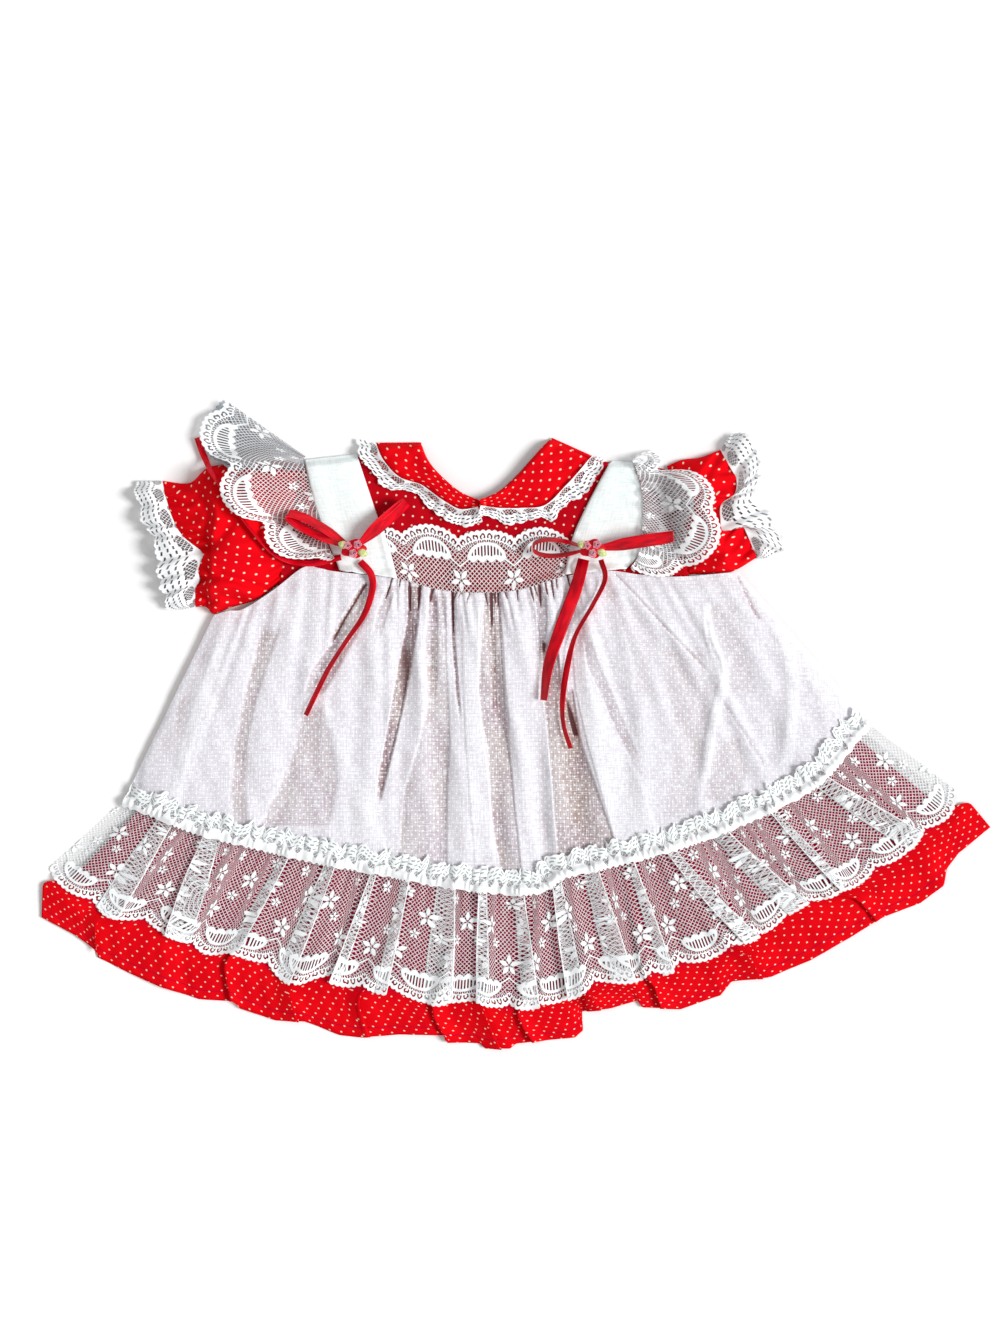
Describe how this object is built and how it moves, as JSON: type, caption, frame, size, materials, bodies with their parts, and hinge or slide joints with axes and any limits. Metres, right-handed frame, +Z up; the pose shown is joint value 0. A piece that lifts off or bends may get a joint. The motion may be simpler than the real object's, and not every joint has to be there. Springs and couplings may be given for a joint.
{
  "type": "baby dress",
  "caption": "Red pin-dot baby dress with puffed sleeves, sheer white pinafore skirt, lace wings and hem ruffle, and satin bows, laid flat.",
  "frame": {"origin": "on the surface that the dress lies on, under the middle of the skirt, at the mount rest_face", "axes": "+X across the dress to the right as it is seen from above, +Y towards the neck, +Z up out of the surface it lies on"},
  "size_m": [0.4742, 0.3222, 0.0166],
  "materials": {
    "red_cotton": "matt woven cotton with small cream pin dots",
    "sheer_batiste": "thin half-sheer white weave with tiny raised dots",
    "strap_cloth": "matt closely woven white cotton, doubled",
    "white_lace": "machine-made white net lace",
    "red_satin": "glossy narrow satin ribbon",
    "rose_pink": "wound pink satin ribbon",
    "leaf_green": "folded pale green satin ribbon",
    "button_white": "smooth white plastic"
  },
  "bodies": {
    "root": {"skirt_front": "red_cotton", "skirt_back": "red_cotton", "bodice_front": "red_cotton", "bodice_back_left": "red_cotton", "bodice_back_right": "red_cotton", "sleeve_left": "red_cotton", "sleeve_right": "red_cotton", "collar_left": "red_cotton", "collar_right": "red_cotton", "pinafore_front": "sheer_batiste", "pinafore_back": "sheer_batiste", "strap_left": "strap_cloth", "strap_right": "strap_cloth", "hem_lace_front": "white_lace", "hem_lace_back": "white_lace", "hem_heading": "white_lace", "yoke_lace": "white_lace", "collar_lace_left": "white_lace", "collar_lace_right": "white_lace", "sleeve_lace_left": "white_lace", "sleeve_lace_right": "white_lace", "wing_lace_left": "white_lace", "wing_lace_right": "white_lace", "bow_knot_left": "red_satin", "bow_knot_right": "red_satin", "bow_loop_left_left": "red_satin", "bow_loop_left_right": "red_satin", "bow_loop_right_left": "red_satin", "bow_loop_right_right": "red_satin", "ribbon_tail_left_up": "red_satin", "ribbon_tail_left_down": "red_satin", "ribbon_tail_right_wide": "red_satin", "ribbon_tail_right_curled": "red_satin", "rosebud_left": "rose_pink", "rosebud_right": "rose_pink", "leaf_left_left": "leaf_green", "leaf_left_right": "leaf_green", "leaf_right_left": "leaf_green", "leaf_right_right": "leaf_green", "back_button_1": "button_white", "back_button_2": "button_white", "back_button_3": "button_white"}
  },
  "joints": []
}
